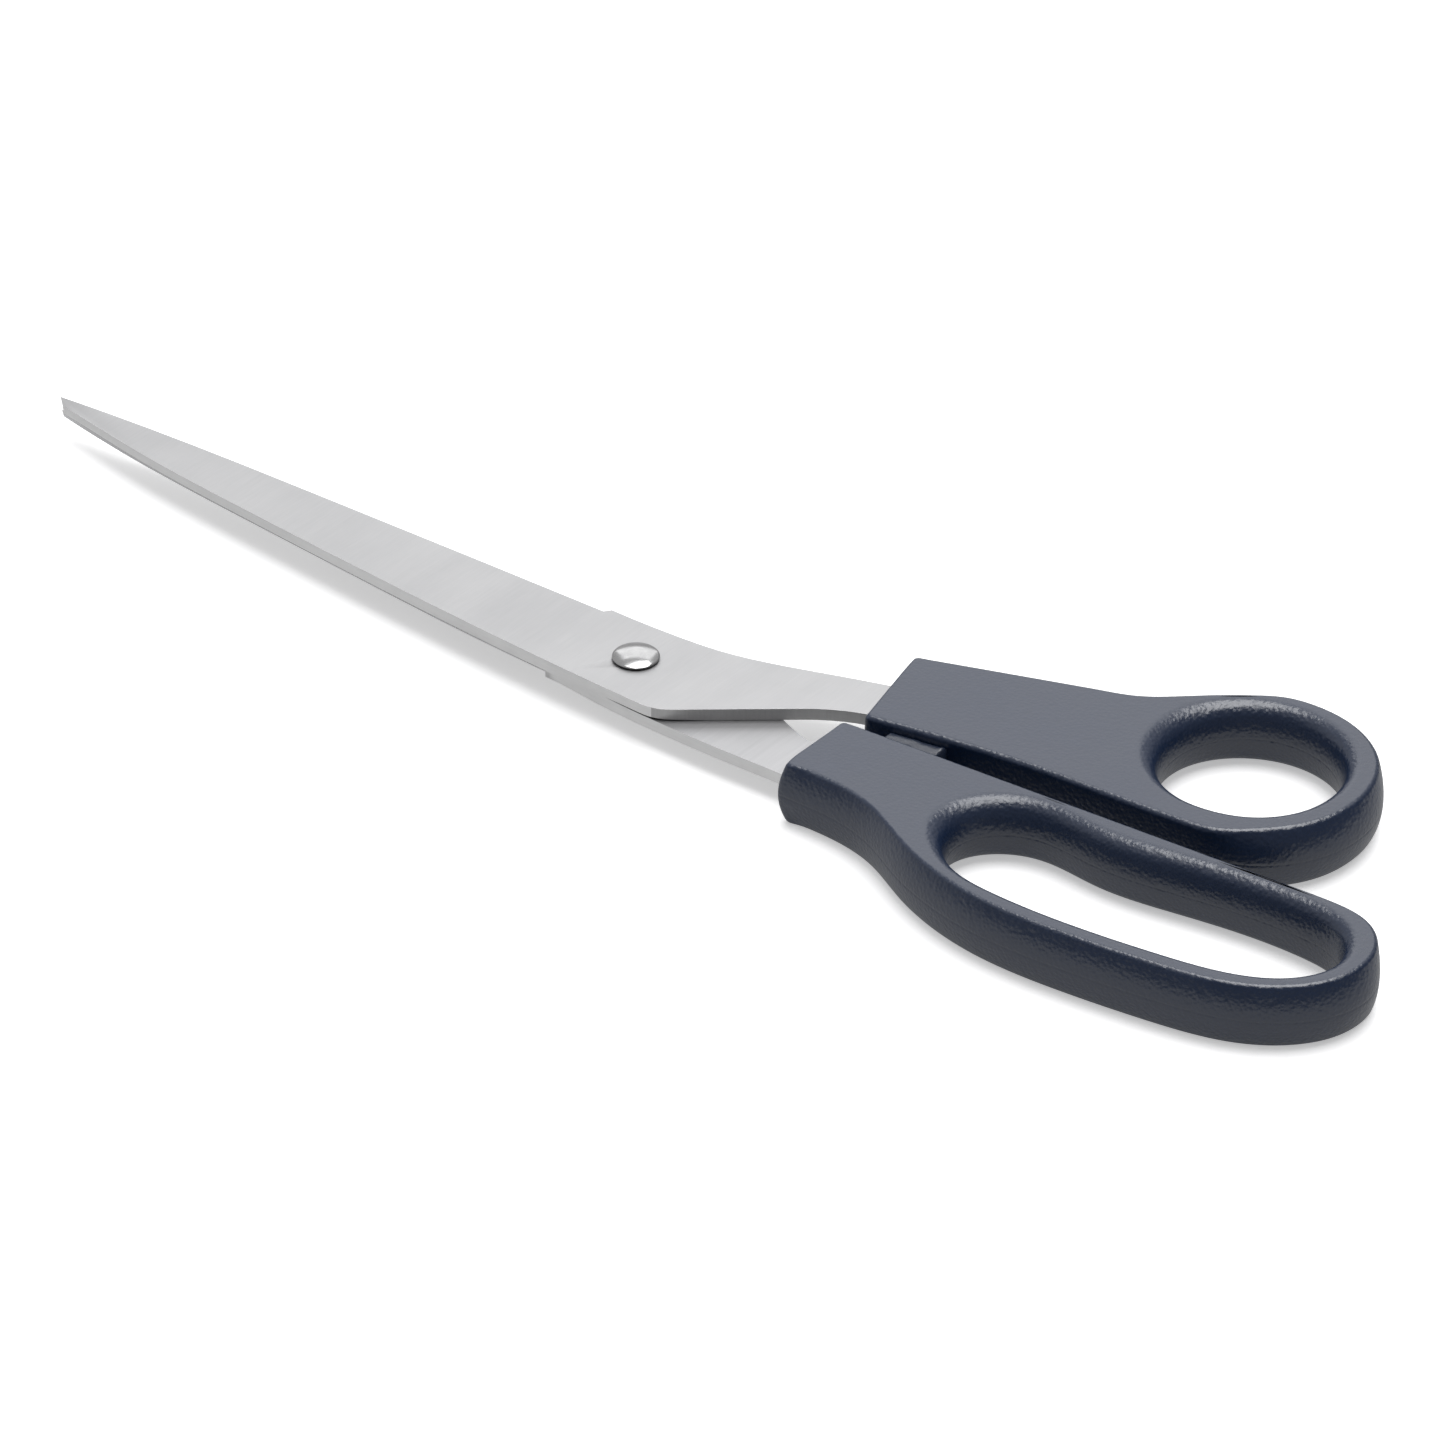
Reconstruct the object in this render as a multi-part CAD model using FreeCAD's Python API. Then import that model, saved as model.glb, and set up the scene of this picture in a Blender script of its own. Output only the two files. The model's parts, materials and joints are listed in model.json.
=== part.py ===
import FreeCAD, Part
import math
import os

# Fabric shears: two stainless blades on one rivet, each with a moulded handle.
# Built about the pivot: +X runs from the pivot to the handles, the closed
# blades point along -X, +Z is up and z = 0 is the plane in which the blades
# meet. At the end everything is moved so that the origin is under the middle
# of the whole object, on the surface it lies on.

vec = FreeCAD.Vector

# ---------------------------------------------------------------- sizes, mm
# blades
blade_length = 132.9        # pivot to tip
steel_thickness = 2.2       # both blades are cut from this sheet
tip_thickness = 1.45        # the outer face is ground thinner towards the tip
thinning_share = 0.9        # share of the blade length over which it thins
edge_offset = 7.6           # pivot line to cutting edge, at the heel of the edge
spine_offset = 10.2         # pivot line to spine, beside the pivot
edge_bevel = 0.55           # how far the cutting edge stands out of the outer face
edge_end = 13.3             # pivot to the step where the cutting edge stops
step_height = 1.2           # how far the uncut part stands out past the edge
step_run = 0.9              # length of the slanted step
heel_corner = 12.0          # pivot to the corner between spine and tang
heel_radius = 8.0           # rounding of that corner
blade_gap = 0.06            # running gap between the two ground faces
cross_over = 0.7            # degrees by which the closed tips pass each other

# pivot
rivet_diameter = 5.0
rivet_clearance = 0.05      # radial, shank to both blades
head_diameter = 8.0
head_rim = 0.5              # straight rim under the dome
head_dome = 1.1             # dome height above the rim
head_gap = 0.05             # head to upper blade, so that it turns
washer_diameter = 9.0
washer_thickness = 0.5
tail_diameter = 7.2         # rivet end, formed over the washer
tail_height = 0.9

# tangs, seen with the cutting edge of their blade towards +Y
upper_tang_width = 9.3
upper_tang_across = 15.95    # pivot line to the middle of the tang at the handle
upper_tang_lean = 19.0      # degrees
upper_heel_angle = 39.4     # degrees, the slanted edge behind the heel
upper_heel_run = 19.0       # length of that slanted edge along X
lower_tang_width = 10.0
lower_tang_across = 3.45
lower_tang_lean = -3.0
lower_heel_angle = 21.0
lower_heel_run = 17.0
tang_lead = 2.0             # straight part of the tang in front of the handle
tang_grip = 26.0            # length held inside the handle
lock_hole_diameter = 4.0    # the moulding flows through these holes
lock_hole_first = 8.0       # front of the handle to the first hole
lock_hole_spacing = 10.0
mould_gap = 0.03            # handle to tang, all round

# handles
handle_reach = 41.0         # pivot to the front of the handles
handle_thickness = 11.6
edge_round = 1.4            # top and bottom edges outside
mouth_round = 0.8           # upright corners of the front face
loop_round = 2.4            # top and bottom edges inside the loops

# thumb loop
thumb_hole_diameter = 29.6
thumb_wall = 6.2
thumb_along = 60.4          # front of the handle to the centre of the loop
thumb_across = 34.9         # pivot line to the centre of the loop
thumb_hole_back = 1.0       # the hole lies this much nearer to the pivot than the loop
thumb_mouth_near = 5.8      # pivot line to the near corner of the front face
thumb_mouth_far = 25.6      # pivot line to the far corner of the front face
thumb_mouth_slant = 2.3     # each corner before or behind the middle

# finger loop
finger_hole_length = 69.4
finger_hole_start = 31.8    # front of the handle to the hole
finger_wall = 5.6
finger_end_wall = 6.2       # at the end of the loop and its inner corner
finger_mouth_near = 14.3    # pivot line to the outer corner of the front face
finger_mouth_far = 3.0      # pivot line to the inner corner of the front face
inner_side_slope = 0.09     # the inner side leans away from the pivot line

# stop lug between the handles
stop_start = 7.3            # front of the handle to the lug
stop_length = 10.0
stop_below_top = 1.4        # the lug's top under the top of the handle
stop_gap = 0.12             # lug to thumb handle with the blades closed

# worked out from the sizes above
half_thickness = handle_thickness / 2
ground_face = blade_gap / 2
outer_face = ground_face + steel_thickness
thumb_hole_radius = thumb_hole_diameter / 2
thumb_ring_radius = thumb_hole_radius + thumb_wall
thumb_centre = (handle_reach + thumb_along, thumb_across)
thumb_hole_centre = (thumb_centre[0] - thumb_hole_back, thumb_across)


# ------------------------------------------------------------------ helpers
def line(a, b):
    """A straight edge from a to b."""
    return Part.LineSegment(vec(*a, 0), vec(*b, 0)).toShape()


def arc(a, middle, b):
    """A circular edge from a through the middle point to b."""
    return Part.Arc(vec(*a, 0), vec(*middle, 0), vec(*b, 0)).toShape()


def heading(degrees):
    """The direction at this angle from +X."""
    return (math.cos(math.radians(degrees)), math.sin(math.radians(degrees)))


def beside(point, degrees, along, across):
    """The point moved along a heading and to its left."""
    x, y = heading(degrees)
    return (point[0] + along * x - across * y, point[1] + along * y + across * x)


def spline(points, start=None, end=None):
    """A smooth edge through the points, with chosen headings at its ends."""
    curve = Part.BSplineCurve()
    places = [vec(x, y, 0) for x, y in points]
    if start is None:
        curve.interpolate(places)
    else:
        first = vec(*start, 0).normalize()
        last = vec(*end, 0).normalize()
        curve.interpolate(Points=places, InitialTangent=first, FinalTangent=last, Scale=False)
    return curve.toShape()


def closed_spline(points):
    """A smooth closed edge through the points."""
    curve = Part.BSplineCurve()
    curve.interpolate(Points=[vec(x, y, 0) for x, y in points], PeriodicFlag=True)
    return curve.toShape()


def plate(edges, low, high):
    """The closed outline made of the edges, as a solid from low to high."""
    face = Part.Face(Part.Wire(edges))
    face.translate(vec(0, 0, low))
    return face.extrude(vec(0, 0, high - low))


def disc(diameter, low, high, centre=(0, 0)):
    """An upright cylinder from low to high."""
    return Part.makeCylinder(diameter / 2, high - low, vec(*centre, low))


def flat_rims(solid, inside=None):
    """The edges of a handle in its top and bottom faces, all or within a box."""
    found = []
    for edge in solid.Edges:
        box = edge.BoundBox
        flat = box.ZLength < 1e-3 and abs(abs(box.ZMin) - half_thickness) < 1e-3
        if flat and (inside is None or inside.isInside(box)):
            found.append(edge)
    return found


def upright_corners(solid, points):
    """The upright edges of the solid that stand on the points."""
    found = []
    for edge in solid.Edges:
        box = edge.BoundBox
        upright = box.XLength < 1e-3 and box.YLength < 1e-3
        if upright and any(math.dist((box.XMin, box.YMin), point) < 0.01 for point in points):
            found.append(edge)
    return found


def turned_over(solid):
    """The solid turned half a turn about X, as the lower blade lies."""
    copy = solid.copy()
    copy.rotate(vec(0, 0, 0), vec(1, 0, 0), 180)
    return copy


def pushed(points, distance):
    """The points of a clockwise run, each moved out by the distance."""
    moved = []
    for before, point, after in zip(points, points[1:], points[2:]):
        x, y = after[0] - before[0], after[1] - before[1]
        size = math.hypot(x, y)
        moved.append((point[0] - distance * y / size, point[1] + distance * x / size))
    return moved


# ------------------------------------------------------------------- blades
# A blade is drawn with its cutting edge towards +Y and its spine towards -Y.
# Each pair is a share of the blade length and a share of the offset there. The
# lower edge has been ground back further towards the tip.
upper_edge_shape = ((1.0, 0.25), (0.84, 0.50), (0.53, 0.75), (0.25, 0.92))
lower_edge_shape = ((0.988, 0.05), (0.84, 0.39), (0.53, 0.73), (0.25, 0.97))
spine_shape = ((0.38, 0.78), (0.65, 0.53), (0.84, 0.28), (0.98, 0.0))


def tang_mouth(across):
    """The middle of a tang where it enters its handle."""
    return (handle_reach, across)


def tang_corners(across, lean, width, grow=0.0, lead=tang_lead):
    """The four corners of the straight part of a tang, far side first."""
    mouth = tang_mouth(across)
    half = width / 2 + grow
    end = tang_grip + grow
    return (beside(mouth, lean, -lead, half), beside(mouth, lean, end, half),
            beside(mouth, lean, end, -half), beside(mouth, lean, -lead, -half))


def blade_outline(stand_out, edge_shape, across, lean, width, far_side, heel_angle, heel_run):
    """Edges of a blade at a height where its cutting edge stands out so far."""
    edge = [(-blade_length * along, edge_offset * share + stand_out)
            for along, share in edge_shape]
    edge.append((-edge_end, edge_offset + stand_out))
    step_top = (-edge_end + step_run, edge_offset + step_height)
    far, end_far, end_near, near = tang_corners(across, lean, width)

    tangent = heel_radius * math.tan(math.radians(heel_angle / 2))
    corner = (heel_corner, -spine_offset)
    heel_in = (heel_corner - tangent, -spine_offset)
    heel_out = beside(corner, heel_angle, tangent, 0)
    middle_turn = math.radians(heel_angle / 2)
    heel_middle = (heel_in[0] + heel_radius * math.sin(middle_turn),
                   -spine_offset + heel_radius * (1 - math.cos(middle_turn)))
    slant_top = beside(corner, heel_angle, heel_run / math.cos(math.radians(heel_angle)), 0)

    back = [(-blade_length * along, -spine_offset * share) for along, share in spine_shape]
    return [
        spline(edge),
        line(edge[-1], step_top),
        spline([step_top, *far_side, far], start=(1, 0), end=heading(lean)),
        line(far, end_far),
        line(end_far, end_near),
        line(end_near, near),
        spline([near, slant_top], start=heading(lean + 180), end=heading(heel_angle + 180)),
        line(slant_top, heel_out),
        arc(heel_out, heel_middle, heel_in),
        spline([heel_in, *back], start=(-1, 0), end=(-1, 0.13)),
        line(back[-1], edge[0]),
    ]


def blade(edge_shape, across, lean, width, far_side, heel_angle, heel_run):
    """A blade and its tang, with its ground face down at the blade gap."""
    sizes = (edge_shape, across, lean, width, far_side, heel_angle, heel_run)
    ground = Part.Wire(blade_outline(edge_bevel, *sizes))
    outer = Part.Wire(blade_outline(0.0, *sizes))
    ground.translate(vec(0, 0, ground_face))
    outer.translate(vec(0, 0, outer_face))
    steel = Part.makeLoft([ground, outer], True, True)

    thinning_end = -blade_length * (1 - thinning_share)
    slope = (steel_thickness - tip_thickness) / (blade_length * thinning_share)
    past_tip = -blade_length - 5
    low = outer_face + slope * (past_tip - thinning_end)
    wedge = Part.makePolygon([
        vec(thinning_end, -spine_offset * 2, outer_face),
        vec(past_tip, -spine_offset * 2, low),
        vec(past_tip, -spine_offset * 2, outer_face + 1),
        vec(thinning_end, -spine_offset * 2, outer_face + 1),
        vec(thinning_end, -spine_offset * 2, outer_face),
    ])
    steel = steel.cut(Part.Face(wedge).extrude(vec(0, spine_offset * 4, 0)))

    bore = disc(rivet_diameter + 2 * rivet_clearance, 0, outer_face + 1)
    holes = [disc(lock_hole_diameter, 0, outer_face + 1, place)
             for place in lock_places(across, lean)]
    return steel.cut([bore, *holes])


def lock_places(across, lean):
    """Centres of the holes that the moulding flows through."""
    mouth = tang_mouth(across)
    return [beside(mouth, lean, lock_hole_first + step * lock_hole_spacing, 0) for step in (0, 1)]


upper_tang = (upper_tang_across, upper_tang_lean, upper_tang_width)
lower_tang = (lower_tang_across, lower_tang_lean, lower_tang_width)


def upper_blade():
    """The upper blade, whose tang leans across to the thumb handle."""
    far_side = [(0.0, 9.3), (10.0, 10.5), (20.0, 13.3), (30.0, 17.0)]
    return blade(upper_edge_shape, *upper_tang, far_side, upper_heel_angle, upper_heel_run)


def lower_blade():
    """The lower blade, whose tang runs nearly straight to the finger handle."""
    far_side = [(0.0, 9.6), (14.0, 9.8), (26.0, 9.4)]
    drawn = blade(lower_edge_shape, *lower_tang, far_side, lower_heel_angle, lower_heel_run)
    steel = turned_over(drawn)
    steel.rotate(vec(0, 0, 0), vec(0, 0, 1), -cross_over)
    return steel


# -------------------------------------------------------------------- pivot
def pivot_rivet():
    """Domed head, shank through both blades, and an end formed on the washer."""
    head_base = outer_face + head_gap
    washer_base = -outer_face - washer_thickness
    rim_top = head_base + head_rim
    radius = head_diameter / 2
    shank = rivet_diameter / 2
    tail = tail_diameter / 2
    tail_base = washer_base - tail_height
    half = [
        Part.LineSegment(vec(0, 0, tail_base), vec(tail * 0.7, 0, tail_base)).toShape(),
        Part.Arc(vec(tail * 0.7, 0, tail_base), vec(tail * 0.93, 0, washer_base - tail_height * 0.6),
                 vec(tail, 0, washer_base)).toShape(),
        Part.LineSegment(vec(tail, 0, washer_base), vec(shank, 0, washer_base)).toShape(),
        Part.LineSegment(vec(shank, 0, washer_base), vec(shank, 0, head_base)).toShape(),
        Part.LineSegment(vec(shank, 0, head_base), vec(radius, 0, head_base)).toShape(),
        Part.LineSegment(vec(radius, 0, head_base), vec(radius, 0, rim_top)).toShape(),
        dome_arc(radius, rim_top),
        Part.LineSegment(vec(0, 0, rim_top + head_dome), vec(0, 0, tail_base)).toShape(),
    ]
    return Part.Face(Part.Wire(half)).revolve(vec(0, 0, 0), vec(0, 0, 1), 360)


def dome_arc(radius, rim_top):
    """The arc from the rim of the head to the top of its dome."""
    sphere = (radius ** 2 + head_dome ** 2) / (2 * head_dome)
    centre = rim_top + head_dome - sphere
    halfway = math.asin(radius / sphere) / 2
    middle = vec(sphere * math.sin(halfway), 0, centre + sphere * math.cos(halfway))
    return Part.Arc(vec(radius, 0, rim_top), middle, vec(0, 0, rim_top + head_dome)).toShape()


def pivot_washer():
    """Flat washer between the lower blade and the formed end of the rivet."""
    base = -outer_face - washer_thickness
    ring = disc(washer_diameter, base, -outer_face)
    return ring.cut(disc(rivet_diameter + 2 * rivet_clearance, base - 1, 0))


# ------------------------------------------------------------------ handles
def moulded(outline, corners, hole):
    """A handle: its outline at full thickness, rounded, with its loop cut out."""
    body = plate(outline, -half_thickness, half_thickness)
    body = body.makeFillet(mouth_round, upright_corners(body, corners))
    body = body.makeFillet(edge_round, flat_rims(body))
    body = body.cut(hole)
    around = FreeCAD.BoundBox(hole.BoundBox)
    around.enlarge(0.01)
    return body.makeFillet(loop_round, flat_rims(body, around))


def gripped(body, side, across, lean, width):
    """The handle with the pocket its tang fills, and the keys through the tang."""
    low = ground_face - mould_gap
    high = outer_face + mould_gap
    corners = tang_corners(across, lean, width, grow=mould_gap, lead=3 * tang_lead)
    rim = [line(a, b) for a, b in zip(corners, corners[1:] + corners[:1])]
    pocket = plate(rim, low, high)
    keys = [disc(lock_hole_diameter - 2 * mould_gap, low - 0.5, high + 0.5, place)
            for place in lock_places(across, lean)]
    if side < 0:
        pocket = turned_over(pocket)
        keys = [turned_over(key) for key in keys]
        for solid in (pocket, *keys):
            solid.rotate(vec(0, 0, 0), vec(0, 0, 1), -cross_over)
    return body.cut(pocket).fuse(keys).removeSplitter()


def on_thumb_ring(degrees):
    """A point on the outside of the thumb loop."""
    return beside(thumb_centre, degrees, thumb_ring_radius, 0)


def thumb_body():
    """The thumb handle before its pocket is cut."""
    near = (handle_reach + thumb_mouth_slant, thumb_mouth_near)
    far = (handle_reach - thumb_mouth_slant, thumb_mouth_far)
    ring_start = on_thumb_ring(-83)
    ring_end = on_thumb_ring(112)
    shoulder = (thumb_centre[0] - 1.5 * thumb_ring_radius, thumb_centre[1] + 2.6)
    shank_run = (far[0] - shoulder[0], far[1] - shoulder[1])
    hollow = (0.56 * near[0] + 0.44 * ring_start[0], 0.56 * near[1] + 0.44 * ring_start[1] + 1.4)
    outline = [
        spline([near, hollow, ring_start], start=heading(12), end=heading(7)),
        arc(ring_start, on_thumb_ring(15), ring_end),
        spline([ring_end, shoulder], start=heading(202), end=shank_run),
        line(shoulder, far),
        line(far, near),
    ]
    hole = disc(thumb_hole_diameter, -half_thickness, half_thickness, thumb_hole_centre)
    return moulded(outline, (near, far), hole)


def finger_hole():
    """The finger hole's outline, clockwise: share of its length, and across."""
    shape = ((0.0, -8.0), (0.035, -2.0), (0.12, 1.7), (0.28, 1.7), (0.54, 4.0), (0.83, 6.3),
             (0.95, 4.4), (1.0, -1.5), (0.965, -8.2), (0.86, -13.4), (0.68, -16.7),
             (0.46, -18.9), (0.25, -19.6), (0.11, -17.9), (0.03, -13.4))
    start = handle_reach + finger_hole_start
    return [(start + share * finger_hole_length, across) for share, across in shape]


def finger_body():
    """The finger handle with its stop lug, before its pocket is cut."""
    hole_points = finger_hole()
    inner = (handle_reach + 0.2, finger_mouth_far)
    outer = (handle_reach, -finger_mouth_near)
    side_end = handle_reach + finger_hole_start + 0.79 * finger_hole_length
    inner_end = (side_end, finger_mouth_far + inner_side_slope * (side_end - inner[0]))
    around = pushed(hole_points[5:9], finger_end_wall) + pushed(hole_points[7:14], finger_wall)
    start = handle_reach + finger_hole_start
    swell = [(start - 3.2, -20.2), (start - 13.3, -15.4), (start - 21.4, -14.0)]
    outline = [
        line(outer, inner),
        line(inner, inner_end),
        spline([inner_end, *around, *swell, outer], start=(1, inner_side_slope), end=(-1, -0.05)),
    ]
    hole = plate([closed_spline(hole_points)], -half_thickness, half_thickness)
    return moulded(outline, (inner, outer), hole)


def stop_lug(thumb):
    """The block on the finger handle that the closed thumb handle meets."""
    left = handle_reach + stop_start
    right = left + stop_length
    root = finger_mouth_far - 1
    reach = thumb_mouth_near + thumb_wall
    outline = [line(*pair) for pair in (((left, root), (right, root)), ((right, root), (right, reach)),
                                        ((right, reach), (left, reach)), ((left, reach), (left, root)))]
    top = half_thickness - stop_below_top
    block = plate(outline, -top, top)
    space = thumb.copy()
    space.translate(vec(0, -stop_gap, 0))
    return block.cut(space)


# ---------------------------------------------------------------- the whole
def build():
    """Every piece, standing on the surface under the middle of the object."""
    thumb = thumb_body()
    finger = finger_body().fuse(stop_lug(thumb))
    pieces = {
        "upper_blade": upper_blade(),
        "lower_blade": lower_blade(),
        "pivot_rivet": pivot_rivet(),
        "pivot_washer": pivot_washer(),
        "thumb_handle": gripped(thumb, 1, *upper_tang),
        "finger_handle": gripped(finger, -1, *lower_tang),
    }
    whole = FreeCAD.BoundBox()
    for piece in pieces.values():
        whole.add(piece.optimalBoundingBox(False))
    shift = vec(-whole.Center.x, -whole.Center.y, -whole.ZMin)
    for piece in pieces.values():
        piece.translate(shift)
    print("pivot axis at", round(shift.x, 3), round(shift.y, 3), "size",
          round(whole.XLength, 2), round(whole.YLength, 2), round(whole.ZLength, 2))
    return pieces


os.makedirs("parts", exist_ok=True)
for name, piece in build().items():
    print(name, "solids", len(piece.Solids), "valid", piece.isValid(), "volume", round(piece.Volume, 1))
    piece.exportStep("parts/" + name + ".step")
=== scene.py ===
import json
import logging
import math
from dataclasses import dataclass
from enum import Enum, IntEnum
from typing import Sequence

import bmesh
import bpy
import numpy as np
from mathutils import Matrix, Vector


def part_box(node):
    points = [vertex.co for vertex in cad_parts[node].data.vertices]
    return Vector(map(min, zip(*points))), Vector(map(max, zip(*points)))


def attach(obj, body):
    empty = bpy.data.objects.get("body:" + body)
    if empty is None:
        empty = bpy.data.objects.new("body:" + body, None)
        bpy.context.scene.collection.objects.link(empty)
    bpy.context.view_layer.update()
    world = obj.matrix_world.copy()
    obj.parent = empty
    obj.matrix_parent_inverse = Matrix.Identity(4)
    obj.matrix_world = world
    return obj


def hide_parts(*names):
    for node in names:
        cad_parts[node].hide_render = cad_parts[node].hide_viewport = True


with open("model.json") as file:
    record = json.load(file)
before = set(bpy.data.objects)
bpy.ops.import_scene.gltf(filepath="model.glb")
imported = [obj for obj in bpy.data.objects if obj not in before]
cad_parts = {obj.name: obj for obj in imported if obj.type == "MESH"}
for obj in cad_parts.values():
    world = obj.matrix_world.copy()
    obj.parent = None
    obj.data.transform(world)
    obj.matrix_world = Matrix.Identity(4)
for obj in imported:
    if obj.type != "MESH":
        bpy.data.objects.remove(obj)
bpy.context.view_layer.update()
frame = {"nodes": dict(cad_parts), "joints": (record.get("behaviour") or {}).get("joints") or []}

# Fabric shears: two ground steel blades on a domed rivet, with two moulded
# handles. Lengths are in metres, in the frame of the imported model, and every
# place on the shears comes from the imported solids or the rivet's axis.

log = logging.getLogger("shears")
MM = 0.001
UPPER_HALF = "upper_half"
LOWER_HALF = "lower_half"
PIVOT = Vector(frame["joints"][0]["pos_m"])


class Slot(Enum):
    """The record's material slots."""

    BLADE = "blade_steel"
    RIVET = "rivet_steel"
    HANDLE = "handle_plastic"


# ------------------------------------------------------------------ shading
class Graph:
    """Adds nodes to one node tree and joins them."""

    def __init__(self, tree: bpy.types.NodeTree) -> None:
        """Start with an empty tree."""
        self.tree = tree
        tree.nodes.clear()

    def add(self, kind: str, settings: dict | None = None, **inputs: object) -> bpy.types.Node:
        """Add a node.

        Args:
            kind: the node's type name.
            settings: properties to set on it.
            inputs: values or output sockets, by input name with _ for spaces.

        Returns:
            The new node.
        """
        node = self.tree.nodes.new(kind)
        for name, value in (settings or {}).items():
            setattr(node, name, value)
        for name, value in inputs.items():
            socket = self.socket(node, name)
            if isinstance(value, bpy.types.NodeSocket):
                self.tree.links.new(value, socket)
            else:
                socket.default_value = value
        return node

    @staticmethod
    def socket(node: bpy.types.Node, name: str) -> bpy.types.NodeSocket:
        """Find an input by its name, or by its number when the name is in_NUMBER."""
        if name.startswith("in_"):
            return node.inputs[int(name[3:])]
        return node.inputs[name.replace("_", " ")]

    def mixed(self, factor: bpy.types.NodeSocket, first: Sequence[float],
              second: Sequence[float]) -> bpy.types.NodeSocket:
        """Blend two colours by a factor and return the result."""
        node = self.add("ShaderNodeMix", {"data_type": "RGBA"}, in_0=factor,
                        in_6=(*first, 1.0), in_7=(*second, 1.0))
        return node.outputs[2]

    def spread(self, value: bpy.types.NodeSocket, low: float, high: float) -> bpy.types.NodeSocket:
        """Map 0 to 1 onto low to high."""
        node = self.add("ShaderNodeMapRange", None, Value=value, To_Min=low, To_Max=high)
        return node.outputs["Result"]


class Effects:
    """Shader node groups that several finishes share, each built once."""

    def __init__(self) -> None:
        """Build every group."""
        self.grinding = self.grinding_group()
        self.grain = self.grain_group()
        self.handling = self.handling_group()

    @staticmethod
    def started(name: str, inputs: dict[str, float], outputs: Sequence[str]) -> tuple[Graph, dict]:
        """Start a group with its sockets.

        Args:
            name: the group's name.
            inputs: default value of each numeric input.
            outputs: names of the numeric outputs.

        Returns:
            The graph of the group, and its input sockets by name.
        """
        tree = bpy.data.node_groups.new(name, "ShaderNodeTree")
        graph = Graph(tree)
        for socket, default in inputs.items():
            made = tree.interface.new_socket(socket, in_out="INPUT", socket_type="NodeSocketFloat")
            made.default_value = default
        for socket in outputs:
            tree.interface.new_socket(socket, in_out="OUTPUT", socket_type="NodeSocketFloat")
        entry = graph.add("NodeGroupInput")
        return graph, {socket: entry.outputs[socket] for socket in inputs}

    @staticmethod
    def place(graph: Graph, x: object, y: object, z: object) -> bpy.types.NodeSocket:
        """The point on the surface, multiplied along each axis."""
        spot = graph.add("ShaderNodeTexCoord").outputs["Object"]
        size = graph.add("ShaderNodeCombineXYZ", None, X=x, Y=y, Z=z).outputs["Vector"]
        product = graph.add("ShaderNodeVectorMath", {"operation": "MULTIPLY"}, in_0=spot, in_1=size)
        return product.outputs["Vector"]

    def grinding_group(self) -> bpy.types.NodeTree:
        """Fine parallel lines left by a grinding wheel, with broader bands."""
        graph, given = self.started(
            "grinding lines", {"Lines X": 2500.0, "Lines Y": 120.0, "Lines Z": 2500.0, "Bands": 0.05},
            ("Tone", "Height"))
        fine = self.place(graph, given["Lines X"], given["Lines Y"], given["Lines Z"])
        lines = graph.add("ShaderNodeTexNoise", None, Vector=fine, Scale=1.0, Detail=4.0, Roughness=0.6)
        shrunk = graph.add("ShaderNodeVectorMath", {"operation": "SCALE"}, in_0=fine)
        graph.tree.links.new(given["Bands"], shrunk.inputs["Scale"])
        broad = graph.add("ShaderNodeTexNoise", None, Vector=shrunk.outputs["Vector"], Scale=1.0,
                          Detail=2.0)
        total = graph.add("ShaderNodeMath", {"operation": "MULTIPLY_ADD"}, in_0=broad.outputs["Fac"],
                          in_1=0.5, in_2=graph.spread(lines.outputs["Fac"], 0.0, 0.5))
        graph.add("NodeGroupOutput", None, Tone=total.outputs[0], Height=lines.outputs["Fac"])
        return graph.tree

    def grain_group(self) -> bpy.types.NodeTree:
        """The fine pebbled texture of a moulded part."""
        graph, given = self.started("moulded grain", {"Cells": 1800.0, "Dust": 6000.0},
                                    ("Tone", "Height"))
        coarse = self.place(graph, given["Cells"], given["Cells"], given["Cells"])
        tiny = self.place(graph, given["Dust"], given["Dust"], given["Dust"])
        pebbles = graph.add("ShaderNodeTexVoronoi", {"feature": "SMOOTH_F1"}, Vector=coarse, Scale=1.0,
                            Smoothness=0.6)
        waves = graph.add("ShaderNodeTexNoise", None, Vector=coarse, Scale=0.6, Detail=3.0)
        specks = graph.add("ShaderNodeTexNoise", None, Vector=tiny, Scale=1.0, Detail=2.0)
        rough = graph.add("ShaderNodeMath", {"operation": "MULTIPLY_ADD"}, in_0=specks.outputs["Fac"],
                          in_1=0.35, in_2=waves.outputs["Fac"])
        height = graph.add("ShaderNodeMath", {"operation": "SUBTRACT"}, in_0=rough.outputs[0],
                           in_1=pebbles.outputs["Distance"])
        graph.add("NodeGroupOutput", None, Tone=waves.outputs["Fac"], Height=height.outputs[0])
        return graph.tree

    def handling_group(self) -> bpy.types.NodeTree:
        """Soft cloudy patches where fingers and cloth have dulled the surface."""
        graph, given = self.started("handling marks", {"Patches": 60.0, "Sharpness": 0.35}, ("Mask",))
        spot = self.place(graph, given["Patches"], given["Patches"], given["Patches"])
        clouds = graph.add("ShaderNodeTexNoise", None, Vector=spot, Scale=1.0, Detail=5.0,
                           Roughness=0.55, Distortion=0.4)
        low = graph.add("ShaderNodeMath", {"operation": "SUBTRACT"}, in_0=0.5, in_1=given["Sharpness"])
        high = graph.add("ShaderNodeMath", {"operation": "ADD"}, in_0=0.5, in_1=given["Sharpness"])
        mask = graph.add("ShaderNodeMapRange", {"interpolation_type": "SMOOTHSTEP"},
                         Value=clouds.outputs["Fac"], From_Min=low.outputs[0], From_Max=high.outputs[0])
        graph.add("NodeGroupOutput", None, Mask=mask.outputs["Result"])
        return graph.tree


def started_material(name: str) -> tuple[bpy.types.Material, Graph]:
    """An empty node material and its graph."""
    material = bpy.data.materials.new(name)
    material.use_nodes = True
    return material, Graph(material.node_tree)


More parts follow.
